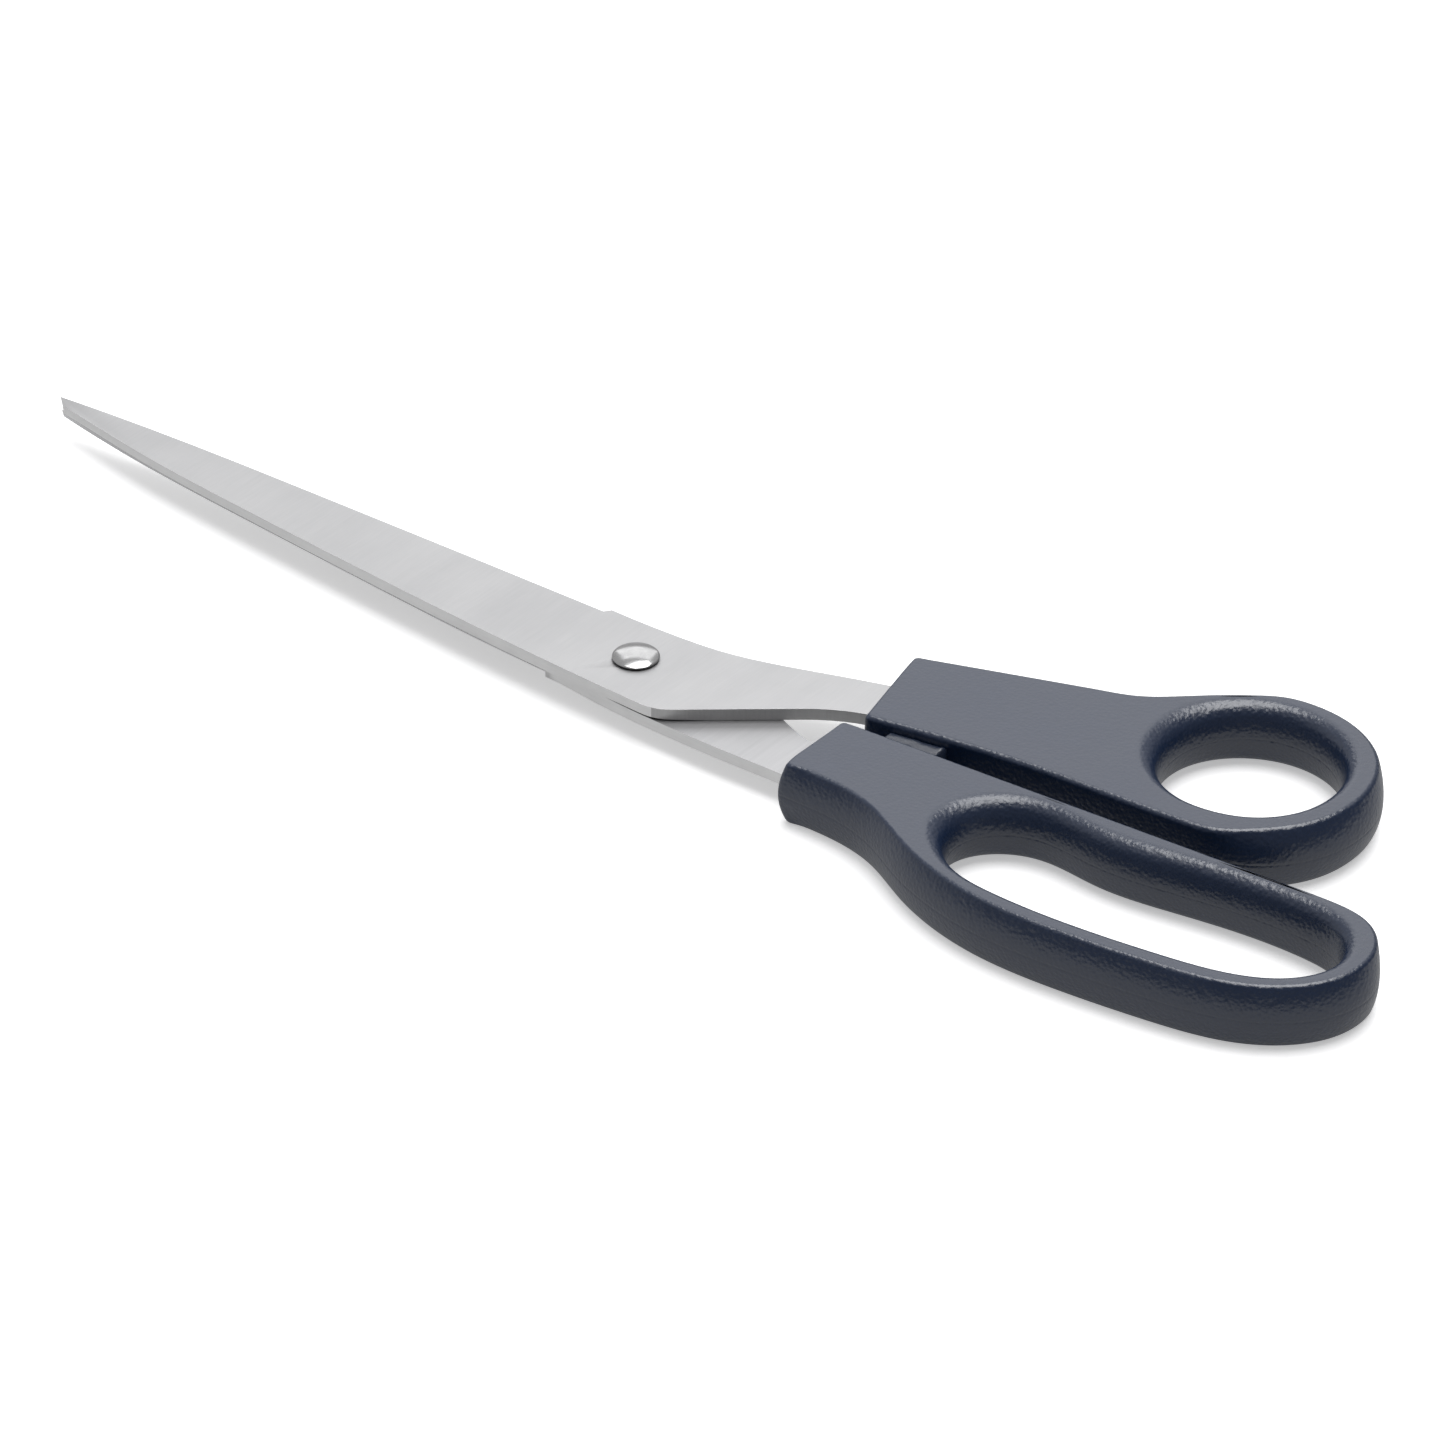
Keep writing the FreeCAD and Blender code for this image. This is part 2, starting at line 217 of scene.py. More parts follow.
def finished_shader(graph: Graph, height: bpy.types.NodeSocket, depth: float,
                    **inputs: object) -> None:
    """Add the shader with its bump and join it to the output.

    Args:
        graph: the material's graph.
        height: the height that the bump follows.
        depth: the height of the bump in metres.
        inputs: inputs of the shader.
    """
    bump = graph.add("ShaderNodeBump", None, Height=height, Distance=depth, Strength=1.0)
    shader = graph.add("ShaderNodeBsdfPrincipled", None, Normal=bump.outputs["Normal"], **inputs)
    graph.add("ShaderNodeOutputMaterial", None, Surface=shader.outputs["BSDF"])


@dataclass(frozen=True)
class GroundSteel:
    """Steel with fine grinding lines."""

    name: str
    light: tuple[float, float, float]
    dark: tuple[float, float, float]
    smooth: float
    rough: float
    lines: tuple[float, float, float]
    depth: float
    patches: float = 45.0
    mark_share: float = 0.35
    line_tones: tuple[float, float] = (-0.15, 0.8)

    def made(self, effects: Effects) -> bpy.types.Material:
        """Build the material."""
        material, graph = started_material(self.name)
        along_x, along_y, along_z = self.lines
        lines = graph.add("ShaderNodeGroup", {"node_tree": effects.grinding},
                          Lines_X=along_x, Lines_Y=along_y, Lines_Z=along_z)
        marks = graph.add("ShaderNodeGroup", {"node_tree": effects.handling}, Patches=self.patches)
        blend = graph.add("ShaderNodeMath", {"operation": "MULTIPLY_ADD"},
                          in_0=marks.outputs["Mask"], in_1=self.mark_share,
                          in_2=graph.spread(lines.outputs["Tone"], *self.line_tones))
        colour = graph.mixed(blend.outputs[0], self.dark, self.light)
        roughness = graph.spread(blend.outputs[0], self.rough, self.smooth)
        finished_shader(graph, lines.outputs["Height"], self.depth, Base_Color=colour,
                        Metallic=1.0, Roughness=roughness)
        return material


@dataclass(frozen=True)
class PolishedSteel:
    """Bright steel with a few soft marks."""

    name: str
    colour: tuple[float, float, float]
    dull: tuple[float, float, float]
    smooth: float
    rough: float
    patches: float = 420.0
    sharpness: float = 0.25
    lines: tuple[float, float, float] = (1500.0, 1500.0, 4000.0)
    depth: float = 0.002 * MM

    def made(self, effects: Effects) -> bpy.types.Material:
        """Build the material."""
        material, graph = started_material(self.name)
        marks = graph.add("ShaderNodeGroup", {"node_tree": effects.handling},
                          Patches=self.patches, Sharpness=self.sharpness)
        along_x, along_y, along_z = self.lines
        lines = graph.add("ShaderNodeGroup", {"node_tree": effects.grinding},
                          Lines_X=along_x, Lines_Y=along_y, Lines_Z=along_z)
        colour = graph.mixed(marks.outputs["Mask"], self.dull, self.colour)
        roughness = graph.spread(marks.outputs["Mask"], self.rough, self.smooth)
        finished_shader(graph, lines.outputs["Height"], self.depth, Base_Color=colour,
                        Metallic=1.0, Roughness=roughness)
        return material


@dataclass(frozen=True)
class MouldedPlastic:
    """Dark plastic with a fine grain, a little shinier where it is handled."""

    name: str
    colour: tuple[float, float, float]
    dusty: tuple[float, float, float]
    smooth: float
    rough: float
    grain: float
    depth: float
    patches: float = 38.0
    flat_share: float = 0.4
    flat_from: float = 0.93
    flat_to: float = 0.998
    shine: float = 1.0

    def made(self, effects: Effects) -> bpy.types.Material:
        """Build the material."""
        material, graph = started_material(self.name)
        grain = graph.add("ShaderNodeGroup", {"node_tree": effects.grain}, Cells=self.grain)
        marks = graph.add("ShaderNodeGroup", {"node_tree": effects.handling}, Patches=self.patches)
        blend = graph.add("ShaderNodeMath", {"operation": "MULTIPLY"},
                          in_0=marks.outputs["Mask"], in_1=grain.outputs["Tone"])
        colour = graph.mixed(blend.outputs[0], self.colour, self.dusty)
        roughness = graph.spread(marks.outputs["Mask"], self.smooth, self.rough)
        facing = graph.add("ShaderNodeNewGeometry").outputs["Normal"]
        upright = graph.add("ShaderNodeSeparateXYZ", None, Vector=facing).outputs["Z"]
        level = graph.add("ShaderNodeMath", {"operation": "ABSOLUTE"}, in_0=upright)
        share = graph.add("ShaderNodeMapRange", {"interpolation_type": "SMOOTHSTEP"},
                          Value=level.outputs[0], From_Min=self.flat_from, From_Max=self.flat_to,
                          To_Min=1.0, To_Max=self.flat_share)
        height = graph.add("ShaderNodeMath", {"operation": "MULTIPLY"}, in_0=grain.outputs["Height"],
                           in_1=share.outputs["Result"])
        finished_shader(graph, height.outputs[0], self.depth, Base_Color=colour,
                        Roughness=roughness, IOR=1.5, Specular_IOR_Level=self.shine)
        return material


@dataclass(frozen=True)
class Paper:
    """The plain pale surface that the shears lie on."""

    name: str = "pale floor"
    colour: tuple[float, float, float] = (0.93, 0.93, 0.935)
    bounce: tuple[float, float, float] = (0.25, 0.25, 0.25)
    glow: float = 0.3
    seen_glow: float = 0.42
    patches: float = 4.0
    smooth: float = 0.85
    rough: float = 0.9
    depth: float = 0.001 * MM
    shine: float = 0.1

    def made(self, effects: Effects) -> bpy.types.Material:
        """Build the material."""
        material, graph = started_material(self.name)
        marks = graph.add("ShaderNodeGroup", {"node_tree": effects.handling}, Patches=self.patches)
        roughness = graph.spread(marks.outputs["Mask"], self.smooth, self.rough)
        seen = graph.add("ShaderNodeLightPath").outputs["Is Camera Ray"]
        colour = graph.mixed(seen, self.bounce, self.colour)
        glow = graph.spread(seen, self.glow, self.seen_glow)
        finished_shader(graph, marks.outputs["Mask"], self.depth, Base_Color=colour,
                        Roughness=roughness, Specular_IOR_Level=self.shine,
                        Emission_Color=(1.0, 1.0, 1.0, 1.0), Emission_Strength=glow)
        return material


# --------------------------------------------------------------- mesh tools
def shown(name: str, shape: bmesh.types.BMesh, materials: Sequence[bpy.types.Material],
          crease: float = 30.0) -> bpy.types.Object:
    """Turn a bmesh into an object in the scene.

    Args:
        name: the piece's name.
        shape: the mesh, freed afterwards.
        materials: its materials, in slot order.
        crease: edges that turn by more than this many degrees stay sharp.

    Returns:
        The new object.
    """
    mesh = bpy.data.meshes.new(name)
    bmesh.ops.recalc_face_normals(shape, faces=shape.faces)
    shape.to_mesh(mesh)
    shape.free()
    for material in materials:
        mesh.materials.append(material)
    mesh.polygons.foreach_set("use_smooth", [True] * len(mesh.polygons))
    mesh.set_sharp_from_angle(angle=math.radians(crease))
    piece = bpy.data.objects.new(name, mesh)
    bpy.context.scene.collection.objects.link(piece)
    return piece


def solid_of(node: str) -> bmesh.types.BMesh:
    """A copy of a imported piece's mesh, with its faces joined up."""
    shape = bmesh.new()
    shape.from_mesh(frame["nodes"][node].data)
    bmesh.ops.remove_doubles(shape, verts=shape.verts, dist=0.001 * MM)
    return shape


def round_length(loop: np.ndarray) -> float:
    """The length of a closed run of points."""
    return float(np.linalg.norm(np.roll(loop, -1, axis=0) - loop, axis=1).sum())


def level_outlines(node: str, height: float) -> list[np.ndarray]:
    """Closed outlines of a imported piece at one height.

    Args:
        node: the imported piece.
        height: the level of the cut.

    Returns:
        The outlines as arrays of points, longest first.
    """
    shape = solid_of(node)
    everything = [*shape.verts, *shape.edges, *shape.faces]
    cut = bmesh.ops.bisect_plane(shape, geom=everything, plane_co=(0, 0, height), plane_no=(0, 0, 1))
    edges = {item for item in cut["geom_cut"] if isinstance(item, bmesh.types.BMEdge)}
    loops = []
    for start in sorted(edges, key=lambda edge: edge.index):
        if start not in edges:
            continue
        edges.remove(start)
        run = list(start.verts)
        while True:
            onward = next((edge for edge in run[-1].link_edges if edge in edges), None)
            if onward is None:
                break
            edges.remove(onward)
            run.append(onward.other_vert(run[-1]))
        loops.append(np.array([vertex.co.xy for vertex in run[:-1]]))
    shape.free()
    return sorted(loops, key=round_length, reverse=True)


def smooth_step(value: np.ndarray, low: float, high: float) -> np.ndarray:
    """Rise smoothly from 0 at low to 1 at high."""
    share = np.clip((value - low) / (high - low), 0.0, 1.0)
    return share * share * (3.0 - 2.0 * share)


@dataclass
class Rim:
    """One closed edge of a moulding, seen from above with the plastic on its left."""

    points: np.ndarray
    spacing: float
    corner_turn: float = 32.0
    corner_clear: float = 1.4 * MM
    corner_reach: float = 6.0 * MM
    fixed_within: float = 0.8 * MM
    free_beyond: float = 3.0 * MM
    turn_reach: float = 1.0 * MM
    passes: int = 24

    @classmethod
    def traced(cls, loop: np.ndarray, inside: bool, spacing: float) -> "Rim":
        """Even out an outline and smooth it everywhere but at its corners.

        Args:
            loop: the outline's points.
            inside: True for the edge of a hole.
            spacing: distance between the new points.

        Returns:
            The new rim.
        """
        ahead = np.roll(loop, -1, axis=0)
        area = (loop[:, 0] * ahead[:, 1] - loop[:, 1] * ahead[:, 0]).sum()
        if (area > 0) == inside:
            loop = loop[::-1]
        closed = np.vstack([loop, loop[:1]])
        travelled = np.concatenate([[0.0], np.cumsum(np.linalg.norm(np.diff(closed, axis=0), axis=1))])
        count = round(travelled[-1] / spacing)
        at = np.arange(count) * travelled[-1] / count
        points = np.column_stack([np.interp(at, travelled, closed[:, axis]) for axis in (0, 1)])
        rim = cls(points, travelled[-1] / count)
        free = smooth_step(rim.from_corner(), rim.fixed_within, rim.free_beyond)[:, None]
        for _ in range(rim.passes):
            middle = (np.roll(rim.points, 1, axis=0) + np.roll(rim.points, -1, axis=0)) / 2
            rim.points = rim.points + 0.5 * free * (middle - rim.points)
        return rim

    def turns(self) -> np.ndarray:
        """How far the rim turns about each point, in radians."""
        reach = max(1, round(self.turn_reach / self.spacing))
        ahead = np.roll(self.points, -reach, axis=0) - self.points
        behind = self.points - np.roll(self.points, reach, axis=0)
        turn = np.arctan2(ahead[:, 1], ahead[:, 0]) - np.arctan2(behind[:, 1], behind[:, 0])
        return np.abs((turn + math.pi) % (2 * math.pi) - math.pi)

    def corners(self) -> list[int]:
        """The sharpest point of each corner."""
        turn = self.turns()
        count = len(turn)
        start = int(np.argmin(turn))
        found = []
        group = []
        for step in range(count + 1):
            here = (start + step) % count
            if step < count and turn[here] > math.radians(self.corner_turn):
                group.append(here)
            elif group:
                found.append(max(group, key=lambda index: turn[index]))
                group = []
        return found

    def from_corner(self) -> np.ndarray:
        """Distance of each point along the rim from the nearest corner."""
        count = len(self.points)
        corners = np.array(self.corners())
        if not len(corners):
            return np.full(count, math.inf)
        gap = np.abs(np.arange(count)[:, None] - corners[None, :])
        return np.minimum(gap, count - gap).min(axis=1) * self.spacing

    def normals(self) -> np.ndarray:
        """Unit directions from the rim into the plastic."""
        along = np.roll(self.points, -2, axis=0) - np.roll(self.points, 2, axis=0)
        along = along / np.linalg.norm(along, axis=1, keepdims=True)
        return np.column_stack([-along[:, 1], along[:, 0]])

    def inward(self) -> np.ndarray:
        """Steps into the plastic that keep each wall 1 m further in, mitred at corners."""
        plain = self.normals()
        steps = plain.copy()
        count = len(plain)
        clear = round(self.corner_clear / self.spacing)
        reach = round(self.corner_reach / self.spacing)
        for corner in self.corners():
            before = plain[(corner - clear) % count]
            after = plain[(corner + clear) % count]
            mitre = (before + after) / (1.0 + before @ after)
            for away in range(-reach, reach + 1):
                here = (corner + away) % count
                side = before if away < 0 else after
                own = plain[here] if abs(away) > clear else side
                share = abs(away) / reach
                steps[here] = mitre * (1.0 - share) + own * share
        return steps

    def eased(self, values: np.ndarray, reach: float) -> np.ndarray:
        """Values along the rim, averaged over a reach either way."""
        width = max(1, round(reach / self.spacing))
        window = np.ones(2 * width + 1) / (2 * width + 1)
        for _ in range(3):
            padded = np.concatenate([values[-width:], values, values[:width]])
            values = np.convolve(padded, window, mode="valid")
        return values


@dataclass(frozen=True)
class WallShape:
    """How the wall of a moulding stands, by the way that it faces.

    Each entry is the direction that the wall faces in degrees, how far the
    middle of the wall bulges past its ends, and the radius of its edges.
    """

    faces: tuple[tuple[float, float, float], ...]
    blend: float = 2.0 * MM

    def along(self, rim: Rim) -> tuple[np.ndarray, np.ndarray]:
        """Bulge and edge radius at each point of a rim."""
        outward = -rim.normals()
        facing = np.degrees(np.arctan2(outward[:, 1], outward[:, 0]))
        angles = [entry[0] for entry in self.faces]
        bulge = np.interp(facing, angles, [entry[1] * MM for entry in self.faces], period=360)
        radius = np.interp(facing, angles, [entry[2] * MM for entry in self.faces], period=360)
        return rim.eased(bulge, self.blend), rim.eased(radius, self.blend)


@dataclass
class Moulding:
    """A flat moulded body between two rims, the same above and below its middle."""

    half: float
    middle: float
    wall_steps: int = 10
    edge_steps: int = 9
    groove: float = 0.05 * MM
    groove_width: float = 0.12 * MM
    lip: float = 0.2 * MM

    def section(self, bulge: np.ndarray, radius: np.ndarray) -> list[tuple[np.ndarray, np.ndarray]]:
        """Steps from the middle of the wall up to the flat top.

        Args:
            bulge: how far the middle of the wall stands out, along the rim.
            radius: the radius of the top edge, along the rim.

        Returns:
            Pairs of distance into the plastic and height above the middle.
        """
        wall = self.half - radius
        for _ in range(4):
            lean = np.arctan2(2 * bulge, wall)
            wall = self.half - radius * (1 - np.sin(lean))
        steps = [(np.full_like(bulge, self.groove), np.zeros_like(bulge)),
                 (np.zeros_like(bulge), np.full_like(bulge, self.groove_width))]
        for share in np.linspace(1.0 / self.wall_steps, 1.0, self.wall_steps):
            steps.append((bulge * share ** 2, wall * share))
        for share in np.linspace(0.0, 1.0, self.edge_steps + 1)[1:]:
            angle = lean + (math.pi / 2 - lean) * share
            steps.append((bulge + radius * (np.cos(lean) - np.cos(angle)),
                          wall + radius * (np.sin(angle) - np.sin(lean))))
        last_inset, last_height = steps[-1]
        steps.append((last_inset + self.lip, last_height))
        return steps

    def walled(self, shape: bmesh.types.BMesh, rim: Rim,
               walls: WallShape) -> list[list[bmesh.types.BMEdge]]:
        """Add the wall that follows a rim.

        Args:
            shape: the mesh to add to.
            rim: the rim at its widest.
            walls: how the wall stands.

        Returns:
            The edges round its flat bottom and round its flat top.
        """
        bulge, radius = walls.along(rim)
        inward = rim.inward()
        steps = self.section(bulge, radius)
        levels = [(inset, -height) for inset, height in reversed(steps[1:])] + steps
        rings = []
        for inset, height in levels:
            places = rim.points + inward * inset[:, None]
            rings.append([shape.verts.new((x, y, self.middle + z))
                          for (x, y), z in zip(places, height)])
        count = len(rim.points)
        for low, high in zip(rings, rings[1:]):
            for here in range(count):
                onward = (here + 1) % count
                shape.faces.new((low[here], low[onward], high[onward], high[here]))
        ends = []
        for ring in (rings[0], rings[-1]):
            ends.append([shape.edges.get((ring[here], ring[(here + 1) % count]))
                         for here in range(count)])
        return ends

    def body(self, walls: Sequence[tuple[Rim, WallShape]]) -> bmesh.types.BMesh:
        """The closed body inside its walls.

        Args:
            walls: each wall's rim and its shape.

        Returns:
            The mesh.
        """
        shape = bmesh.new()
        ends = [self.walled(shape, *wall) for wall in walls]
        for which in (0, 1):
            border = [edge for end in ends for edge in end[which]]
            bmesh.ops.triangle_fill(shape, edges=border, use_beauty=True, use_dissolve=False)
        return shape


# ------------------------------------------------------------------ handles
@dataclass
class Handle:
    """A moulded handle round the tang of its blade."""

    node: str
    body: str
    outer: WallShape
    inner: WallShape
    outline_above_middle: float
    hole_above_middle: float
    spacing: float = 0.4 * MM
    crease: float = 50.0

    def built(self, plastic: bpy.types.Material) -> bpy.types.Object:
        """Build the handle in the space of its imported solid."""
        low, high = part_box(self.node)
        half = (high.z - low.z) / 2
        middle = low.z + half
        outline = level_outlines(self.node, middle + self.outline_above_middle)[0]
        hole = level_outlines(self.node, middle + self.hole_above_middle)[1]
        outer_rim = Rim.traced(outline, False, self.spacing)
        inner_rim = Rim.traced(hole, True, self.spacing)
        moulding = Moulding(half, middle)
        shape = moulding.body([(outer_rim, self.outer), (inner_rim, self.inner)])
        piece = shown(self.node + "_moulding", shape, [plastic], crease=self.crease)
        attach(piece, self.body)
        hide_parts(self.node)
        log.info("%s: %d faces", piece.name, len(piece.data.polygons))
        return piece


@dataclass
class StopLug:
    """The block on the finger handle that the closed thumb handle meets."""

    node: str = "finger_handle"
    start: float = 48.3 * MM
    length: float = 10.0 * MM
    below_top: float = 1.4 * MM
    root: float = 2.0 * MM
    outline_above_middle: float = 1.5 * MM
    end_reach: float = 0.05 * MM
    ridge_height: float = 0.16 * MM
    ridge_count: float = 2.6
    ridge_wander: float = 0.3
    burr_place: tuple[float, float] = (0.97, 0.9)
    burr_spread: float = 0.004
    burr_height: float = 1.2
    edge: float = 0.3 * MM
    crease: float = 60.0
    columns: int = 60
    rows: int = 16

    def far_side(self) -> tuple[float, float]:
        """Where the lug's far side lies at its two ends."""
        low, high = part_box(self.node)
        outline = level_outlines(self.node, (low.z + high.z) / 2 + self.outline_above_middle)[0]
        far = outline[outline[:, 1] > PIVOT.y]
        first = PIVOT.x + self.start
        last = first + self.length
        at_first = np.abs(far[:, 0] - first) < self.end_reach
        at_last = np.abs(far[:, 0] - last) < self.end_reach
        return far[at_first][:, 1].max(), far[at_last][:, 1].max()

    def top_relief(self, along: float, across: float) -> float:
        """Height of the ridges that the trimming tool left on the lug's top.

        Args:
            along: place along the lug, 0 to 1.
            across: place from the handle out to the lug's far side, 0 to 1.

        Returns:
            The height, in metres.
        """
        wander = 0.35 * math.sin(9.0 * along + 1.0) + 0.2 * math.sin(23.0 * along)
        ridges = math.sin(2 * math.pi * (self.ridge_count * across + self.ridge_wander * wander) + 1.1)
        fade = min(1.0, 3.0 * along + 0.25)
        burr_along, burr_across = self.burr_place
        away = (along - burr_along) ** 2 + (across - burr_across) ** 2
        burr = self.burr_height * math.exp(-away / self.burr_spread)
        return self.ridge_height * (0.5 * ridges * fade - 0.5 + burr)

    def grid(self, shape: bmesh.types.BMesh, far_ends: tuple[float, float], level: float,
             sense: int) -> list[list[bmesh.types.BMVert]]:
        """Add the points of the lug's top or bottom.

        Args:
            shape: the mesh to add to.
            far_ends: where the far side lies at the lug's two ends.
            level: the height of the flat.
            sense: 1 for the top, which has ridges, and -1 for the bottom.

        Returns:
            The points, row by row from the handle outwards.
        """
        far_first, far_last = far_ends
        near = PIVOT.y + self.root
        grid = []
        for row in range(self.rows + 1):
            across = row / self.rows
            line = []
            for column in range(self.columns + 1):
                along = column / self.columns
                far = far_first + (far_last - far_first) * along
                rim = min(along, 1 - along) * self.length
                rim = min(rim, (1 - across) * (far - near))
                drop = self.edge * (1 - smooth_step(np.array(rim), 0.0, self.edge))
                relief = self.top_relief(along, across) if sense > 0 else 0.0
                line.append(shape.verts.new((
                    PIVOT.x + self.start + along * self.length,
                    near + across * (far - near),
                    level + sense * (relief - float(drop)))))
            grid.append(line)
        return grid

    def built(self, plastic: bpy.types.Material) -> bpy.types.Object:
        """Build the lug against the finger handle's inner side."""
        low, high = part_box(self.node)
        far_ends = self.far_side()
        shape = bmesh.new()
        grids = [self.grid(shape, far_ends, high.z - self.below_top, 1),
                 self.grid(shape, far_ends, low.z + self.below_top, -1)]
        for grid in grids:
            for line, beyond in zip(grid, grid[1:]):
                for here in range(self.columns):
                    shape.faces.new((line[here], line[here + 1], beyond[here + 1], beyond[here]))
        self.close(shape, grids)
        piece = shown("stop_lug", shape, [plastic], crease=self.crease)
        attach(piece, LOWER_HALF)
        log.info("%s: %d faces", piece.name, len(piece.data.polygons))
        return piece

    @staticmethod
    def close(shape: bmesh.types.BMesh, grids: Sequence[Sequence[Sequence[bmesh.types.BMVert]]]) -> None:
        """Join the borders of the top and bottom grids with walls."""
        borders = []
        for grid in grids:
            right = [line[-1] for line in grid]
            left = [line[0] for line in grid]
            borders.append([*grid[0], *right[1:], *grid[-1][-2::-1], *left[-2:0:-1]])
        upper, lower = borders
        for here in range(len(upper)):
            onward = (here + 1) % len(upper)
            shape.faces.new((upper[here], upper[onward], lower[onward], lower[here]))


# ------------------------------------------------------------------- blades
class Dressing(IntEnum):
    """The kinds of face on a blade, in the order of its materials."""

    FACE = 0
    SHEARED = 1
    HONED = 2
    INNER = 3
    EDGE = 4


@dataclass
class Blade:
    """A blade with its tang, its edges eased and each kind of face dressed."""

    node: str
    body: str
    eased: float = 0.12 * MM
    crisp_within: float = 0.4 * MM
    flat_within: float = 8.0
    flat_reach: float = 0.2 * MM
    bevel_levels: tuple[float, float] = (0.1, 0.4)
    merge_angle: float = 0.3
    feature_turn: float = 24.0
    sheared_from: float = math.inf
    sheared_facing: float = 0.3
    heel_relief: float = 0.0
    relief_reach: tuple[float, float, float, float] = (-12.0 * MM, 2.0 * MM, 8.0 * MM, 22.0 * MM)
    relief_beside: float = 6.0 * MM
    relief_cuts: int = 12

    def ground_level(self) -> float:
        """The level of the face that slides on the other blade."""
        low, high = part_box(self.node)
        return min((low.z, high.z), key=lambda level: abs(level - PIVOT.z))

    def ease_edges(self, shape: bmesh.types.BMesh) -> None:
        """Chamfer the outer edges, and leave the cutting side crisp."""
        bmesh.ops.dissolve_limit(shape, angle_limit=math.radians(self.merge_angle),
                                 verts=shape.verts, edges=shape.edges)
        ground = self.ground_level()
        picked = []
        for edge in shape.edges:
            if len(edge.link_faces) != 2 or edge.calc_face_angle() < math.radians(self.feature_turn):
                continue
            heights = [abs(vertex.co.z - ground) for vertex in edge.verts]
            if min(heights) > self.crisp_within:
                picked.append(edge)
        bmesh.ops.bevel(shape, geom=picked, offset=self.eased, segments=2, profile=0.5,
                        affect="EDGES", clamp_overlap=True)

    def relieve_heel(self, shape: bmesh.types.BMesh) -> None:
        """Lift the near edge of the inner face a little round the heel corner."""
        if not self.heel_relief:
            return
        ground = self.ground_level()
        first, full, fading, last = self.relief_reach
        for place in np.linspace(first, last, self.relief_cuts):
            low = [face for face in shape.faces
                   if any(abs(vertex.co.z - ground) < self.eased for vertex in face.verts)]
            around = {item for face in low for item in (*face.verts, *face.edges)}
            bmesh.ops.bisect_plane(shape, geom=[*low, *around], plane_co=(PIVOT.x + place, 0, 0),
                                   plane_no=(1, 0, 0), dist=0.001 * MM)
        for vertex in shape.verts:
            along = np.array(vertex.co.x - PIVOT.x)
            if abs(vertex.co.z - ground) < self.eased and vertex.co.y < PIVOT.y - self.relief_beside:
                rise = smooth_step(along, first, full) * (1.0 - smooth_step(along, fading, last))
                vertex.co.z += self.heel_relief * float(rise)

    def sheared(self, face: bmesh.types.BMFace) -> bool:
        """Whether a side face belongs to the tang, which is left as the press sheared it."""
        behind = face.calc_center_median().x > PIVOT.x + self.sheared_from
        return behind and face.normal.x > self.sheared_facing

    def dressing(self, face: bmesh.types.BMFace, ground: float) -> Dressing:
        """The kind of face that a face of the mesh belongs to.

        Args:
            face: a face of the blade's mesh.
            ground: the level of the face that slides on the other blade.

        Returns:
            Its kind.
        """
        level = abs(face.normal.z)
        lowest, highest = self.bevel_levels
        if abs(face.calc_center_median().z - ground) < self.flat_reach:
            return Dressing.INNER
        if level > math.cos(math.radians(self.flat_within)):
            return Dressing.FACE
        if lowest < level < highest:
            return Dressing.HONED
        return Dressing.SHEARED if self.sheared(face) else Dressing.EDGE

    def built(self, steels: Sequence[bpy.types.Material]) -> bpy.types.Object:
        """Build the blade.

        Args:
            steels: a material for each kind of face, in the order of Dressing.

        Returns:
            The blade.
        """
        shape = solid_of(self.node)
        self.ease_edges(shape)
        self.relieve_heel(shape)
        ground = self.ground_level()
        for face in shape.faces:
            face.material_index = self.dressing(face, ground)
        piece = shown(self.node + "_steel", shape, steels, crease=self.feature_turn)
        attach(piece, self.body)
        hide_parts(self.node)
        log.info("%s: %d faces", piece.name, len(piece.data.polygons))
        return piece


# -------------------------------------------------------------------- pivot
@dataclass
class Turned:
    """A round piece on the rivet's axis, turned from a profile."""

    name: str
    node: str
    body: str
    turns: int = 144
    crease: float = 35.0

    def spun(self, profile: Sequence[tuple[float, float]], closed: bool) -> bmesh.types.BMesh:
        """Spin a profile round the rivet's axis.

        Args:
            profile: pairs of radius and height; a radius of 0 is on the axis.
            closed: True when the profile is a ring that does not reach the axis.

        Returns:
            The mesh.
        """
        shape = bmesh.new()
        rings = []
        for radius, height in profile:
            if radius == 0:
                rings.append([shape.verts.new((PIVOT.x, PIVOT.y, height))])
                continue
            ring = []
            for turn in range(self.turns):
                angle = 2 * math.pi * turn / self.turns
                ring.append(shape.verts.new((PIVOT.x + radius * math.cos(angle),
                                             PIVOT.y + radius * math.sin(angle), height)))
            rings.append(ring)
        pairs = list(zip(rings, rings[1:]))
        if closed:
            pairs.append((rings[-1], rings[0]))
        for first, second in pairs:
            for here in range(self.turns):
                onward = (here + 1) % self.turns
                corners = [first[here % len(first)], first[onward % len(first)],
                           second[onward % len(second)], second[here % len(second)]]
                shape.faces.new(list(dict.fromkeys(corners)))
        return shape

    def placed(self, shape: bmesh.types.BMesh, steels: Sequence[bpy.types.Material]) -> bpy.types.Object:
        """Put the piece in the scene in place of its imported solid."""
        piece = shown(self.name, shape, steels, crease=self.crease)
        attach(piece, self.body)
        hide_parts(self.node)
        log.info("%s: %d faces", piece.name, len(piece.data.polygons))
        return piece


